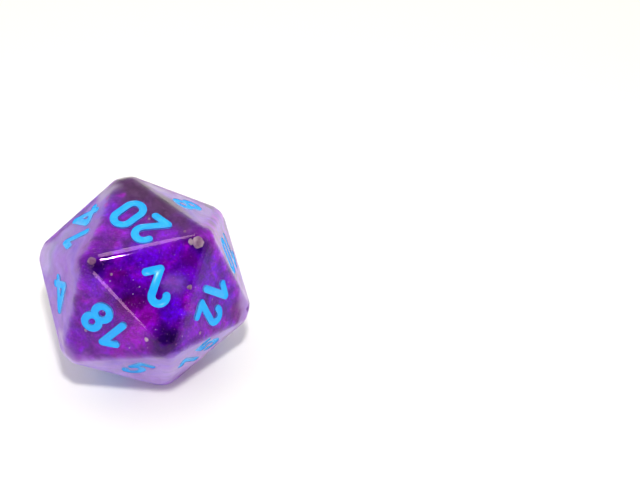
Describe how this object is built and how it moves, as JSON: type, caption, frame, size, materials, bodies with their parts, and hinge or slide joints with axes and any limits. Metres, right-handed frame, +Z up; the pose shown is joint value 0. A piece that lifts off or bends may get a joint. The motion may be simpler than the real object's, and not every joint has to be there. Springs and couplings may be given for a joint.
{
  "type": "polyhedral die",
  "caption": "Icosahedral playing die in translucent swirled resin, with engraved numerals filled with blue ink, for rolling on a table.",
  "frame": {"origin": "centre of the face numbered 1, which the die rests on", "axes": "+Z up, out of the face numbered 20; -Y out of the side with the face numbered 2; +X to the right of it"},
  "size_m": [0.0212, 0.0236, 0.02],
  "materials": {
    "violet_resin": "polished translucent cast resin, clear with violet and magenta swirls, pale flecks and fine glitter",
    "blue_ink": "glossy opaque sky-blue ink, slightly hollow in its pockets"
  },
  "bodies": {
    "root": {"die_body": "violet_resin", "numeral_1": "blue_ink", "numeral_2": "blue_ink", "numeral_3": "blue_ink", "numeral_4": "blue_ink", "numeral_5": "blue_ink", "numeral_6": "blue_ink", "numeral_6_dot": "blue_ink", "numeral_7": "blue_ink", "numeral_8": "blue_ink", "numeral_9": "blue_ink", "numeral_9_dot": "blue_ink", "numeral_10_tens": "blue_ink", "numeral_10_units": "blue_ink", "numeral_11_tens": "blue_ink", "numeral_11_units": "blue_ink", "numeral_12_tens": "blue_ink", "numeral_12_units": "blue_ink", "numeral_13_tens": "blue_ink", "numeral_13_units": "blue_ink", "numeral_14_tens": "blue_ink", "numeral_14_units": "blue_ink", "numeral_15_tens": "blue_ink", "numeral_15_units": "blue_ink", "numeral_16_tens": "blue_ink", "numeral_16_units": "blue_ink", "numeral_17_tens": "blue_ink", "numeral_17_units": "blue_ink", "numeral_18_tens": "blue_ink", "numeral_18_units": "blue_ink", "numeral_19_tens": "blue_ink", "numeral_19_units": "blue_ink", "numeral_20_tens": "blue_ink", "numeral_20_units": "blue_ink"}
  },
  "joints": []
}
